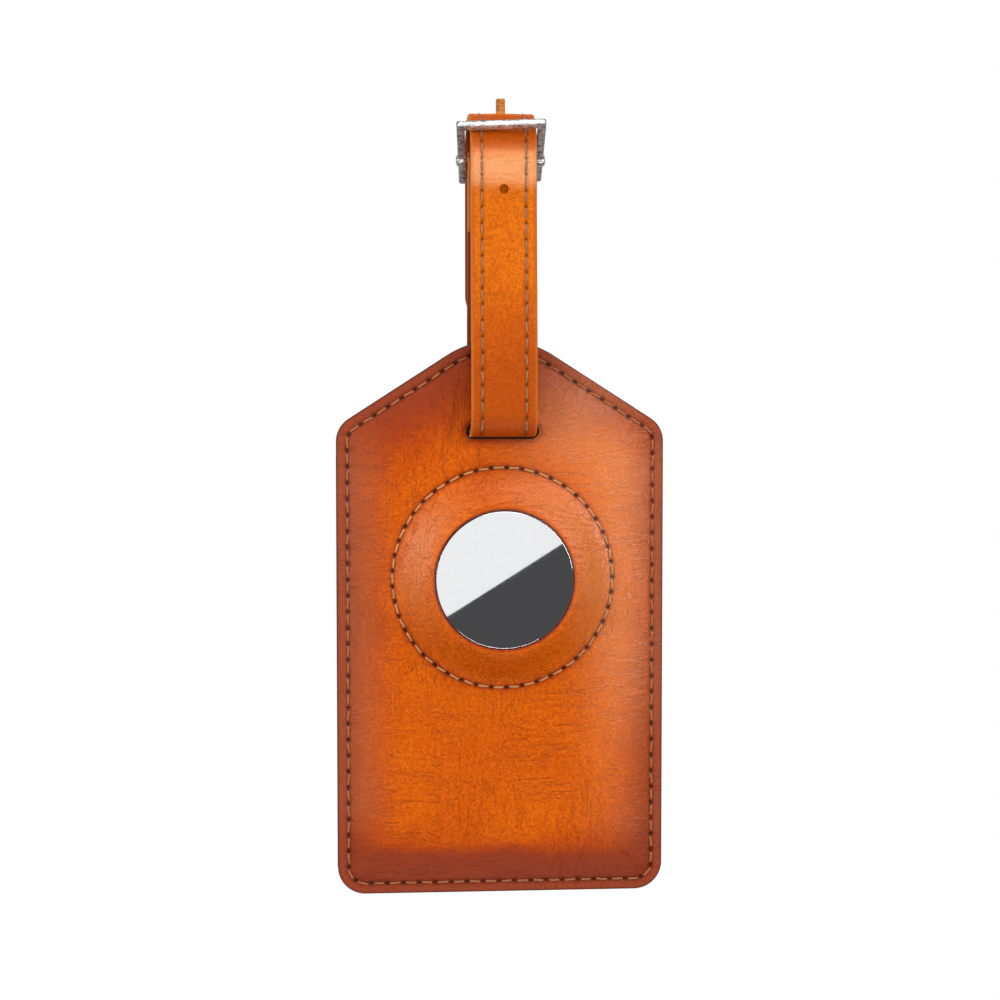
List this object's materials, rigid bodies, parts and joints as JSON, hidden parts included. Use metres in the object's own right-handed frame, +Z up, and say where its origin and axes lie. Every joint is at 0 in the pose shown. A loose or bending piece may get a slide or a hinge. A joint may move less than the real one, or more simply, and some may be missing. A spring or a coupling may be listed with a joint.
{
  "type": "luggage tag",
  "caption": "Leather luggage tag with a domed pocket for a round finder disc, a card pocket behind it, and a strap that buckles into a loop round a bag's handle.",
  "frame": {"origin": "middle of the strap's loop, where the bag's handle goes", "axes": "+Z up along the hanging tag, the front with the disc's dome faces -Y, +X to the right seen from the front"},
  "size_m": [0.06, 0.0174, 0.1457],
  "materials": {
    "tag_leather": "burnished orange, darker at the edges",
    "strap_leather": "orange grain",
    "strap_lining": "smooth orange lining",
    "board": "raw fibre board",
    "lining_cloth": "fine brown cloth",
    "clear_film": "clear flexible film",
    "card_stock": "matt white card, blank",
    "white_plastic": "glossy white",
    "polished_steel": "polished, lightly scratched",
    "cell_steel": "plated",
    "dark_plastic": "moulded black",
    "contact_metal": "gold-plated or bare copper alloy",
    "board_green": "solder mask",
    "chip_plastic": "moulded packages",
    "seal_rubber": "silicone",
    "gold_thread": "waxed thread",
    "tan_thread": "waxed thread",
    "brown_thread": "waxed thread",
    "bright_metal": "plated, scratched"
  },
  "bodies": {
    "strap": {"strap_outer": "strap_leather", "strap_lining": "strap_lining", "strap_thread": "brown_thread"},
    "tag": {"front_panel": "tag_leather", "stiffener_board": "board", "back_panel": "tag_leather", "lining_patch": "lining_cloth", "card_pocket": "tag_leather", "window_film": "clear_film", "edge_thread": "gold_thread", "ring_thread": "tan_thread", "pocket_thread": "gold_thread"},
    "disc": {"disc_shell": "white_plastic", "coin_cell": "cell_steel", "cell_tray": "dark_plastic", "contact_springs": "contact_metal", "circuit_board": "board_green", "board_chips": "chip_plastic", "speaker_magnet": "cell_steel", "speaker_coil": "contact_metal", "cover_gasket": "seal_rubber"},
    "cover": {"disc_cover": "polished_steel"},
    "card": {"address_card": "card_stock"},
    "buckle": {"buckle_ring": "bright_metal", "buckle_crossbar": "bright_metal"},
    "prong": {"buckle_prong": "bright_metal"}
  },
  "joints": [
    {"name": "tag_swing", "type": "hinge", "parent": "strap", "child": "tag", "pos_m": [0.0003, -0.0006, -0.0268], "axis": [1, 0, 0], "range_deg": [-6, 6]},
    {"name": "disc_spin", "type": "hinge", "parent": "tag", "child": "disc", "pos_m": [0.0003, 0, -0.0536], "axis": [0, 1, 0], "continuous": true},
    {"name": "cover_twist", "type": "hinge", "parent": "disc", "child": "cover", "pos_m": [0.0003, 0, -0.0536], "axis": [0, 1, 0], "range_deg": [-25, 0]},
    {"name": "card_slide", "type": "slide", "parent": "tag", "child": "card", "axis": [1, 0, 0], "range_m": [0, 0.045]},
    {"name": "buckle_tilt", "type": "hinge", "parent": "strap", "child": "buckle", "pos_m": [0.0003, 0.0025, 0.0225], "axis": [1, 0, 0], "range_deg": [-11, 12]},
    {"name": "prong_rock", "type": "hinge", "parent": "strap", "child": "prong", "pos_m": [0.0003, 0.0025, 0.0225], "axis": [1, 0, 0], "range_deg": [-5, 5]}
  ]
}
